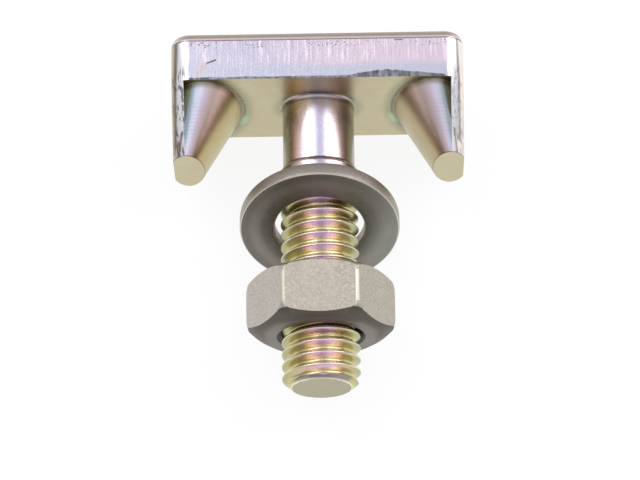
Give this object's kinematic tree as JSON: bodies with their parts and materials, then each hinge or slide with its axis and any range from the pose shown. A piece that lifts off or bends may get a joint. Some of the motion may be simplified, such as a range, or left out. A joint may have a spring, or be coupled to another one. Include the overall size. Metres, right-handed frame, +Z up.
{
  "type": "battery cable bolt",
  "caption": "Forged T-head clamp bolt with two tapered prongs, a plain washer and a hexagon nut, M8 thread, yellow zinc finish.",
  "frame": {"origin": "on the thread axis, at the seat face under the head plate", "axes": "+Y along the thread axis toward the head's top, so the thread points to -Y; +X along the head plate's long side; +Z up as the bolt lies"},
  "size_m": [0.0292, 0.0352, 0.0154],
  "materials": {
    "yellow_zinc": "iridescent yellow zinc plate on forged steel",
    "dark_zinc": "dull zinc plate on stamped steel",
    "grey_zinc": "satin zinc plate on cold-formed steel"
  },
  "bodies": {
    "bolt": {"t_head_bolt": "yellow_zinc"},
    "washer": {"washer": "dark_zinc"},
    "nut": {"hex_nut": "grey_zinc"}
  },
  "joints": [
    {"name": "nut_travel", "type": "slide", "parent": "bolt", "child": "washer", "axis": [0, 1, 0], "range_m": [-0.00751, 0.00814]},
    {"name": "nut_turn", "type": "hinge", "parent": "washer", "child": "nut", "pos_m": [0, -0.0216, 0], "axis": [0, 1, 0], "range_deg": [-2160, 2340]}
  ],
  "couplings": [
    {"joint": "nut_travel", "follows": "nut_turn", "m_per_rad": 0.00019894}
  ]
}
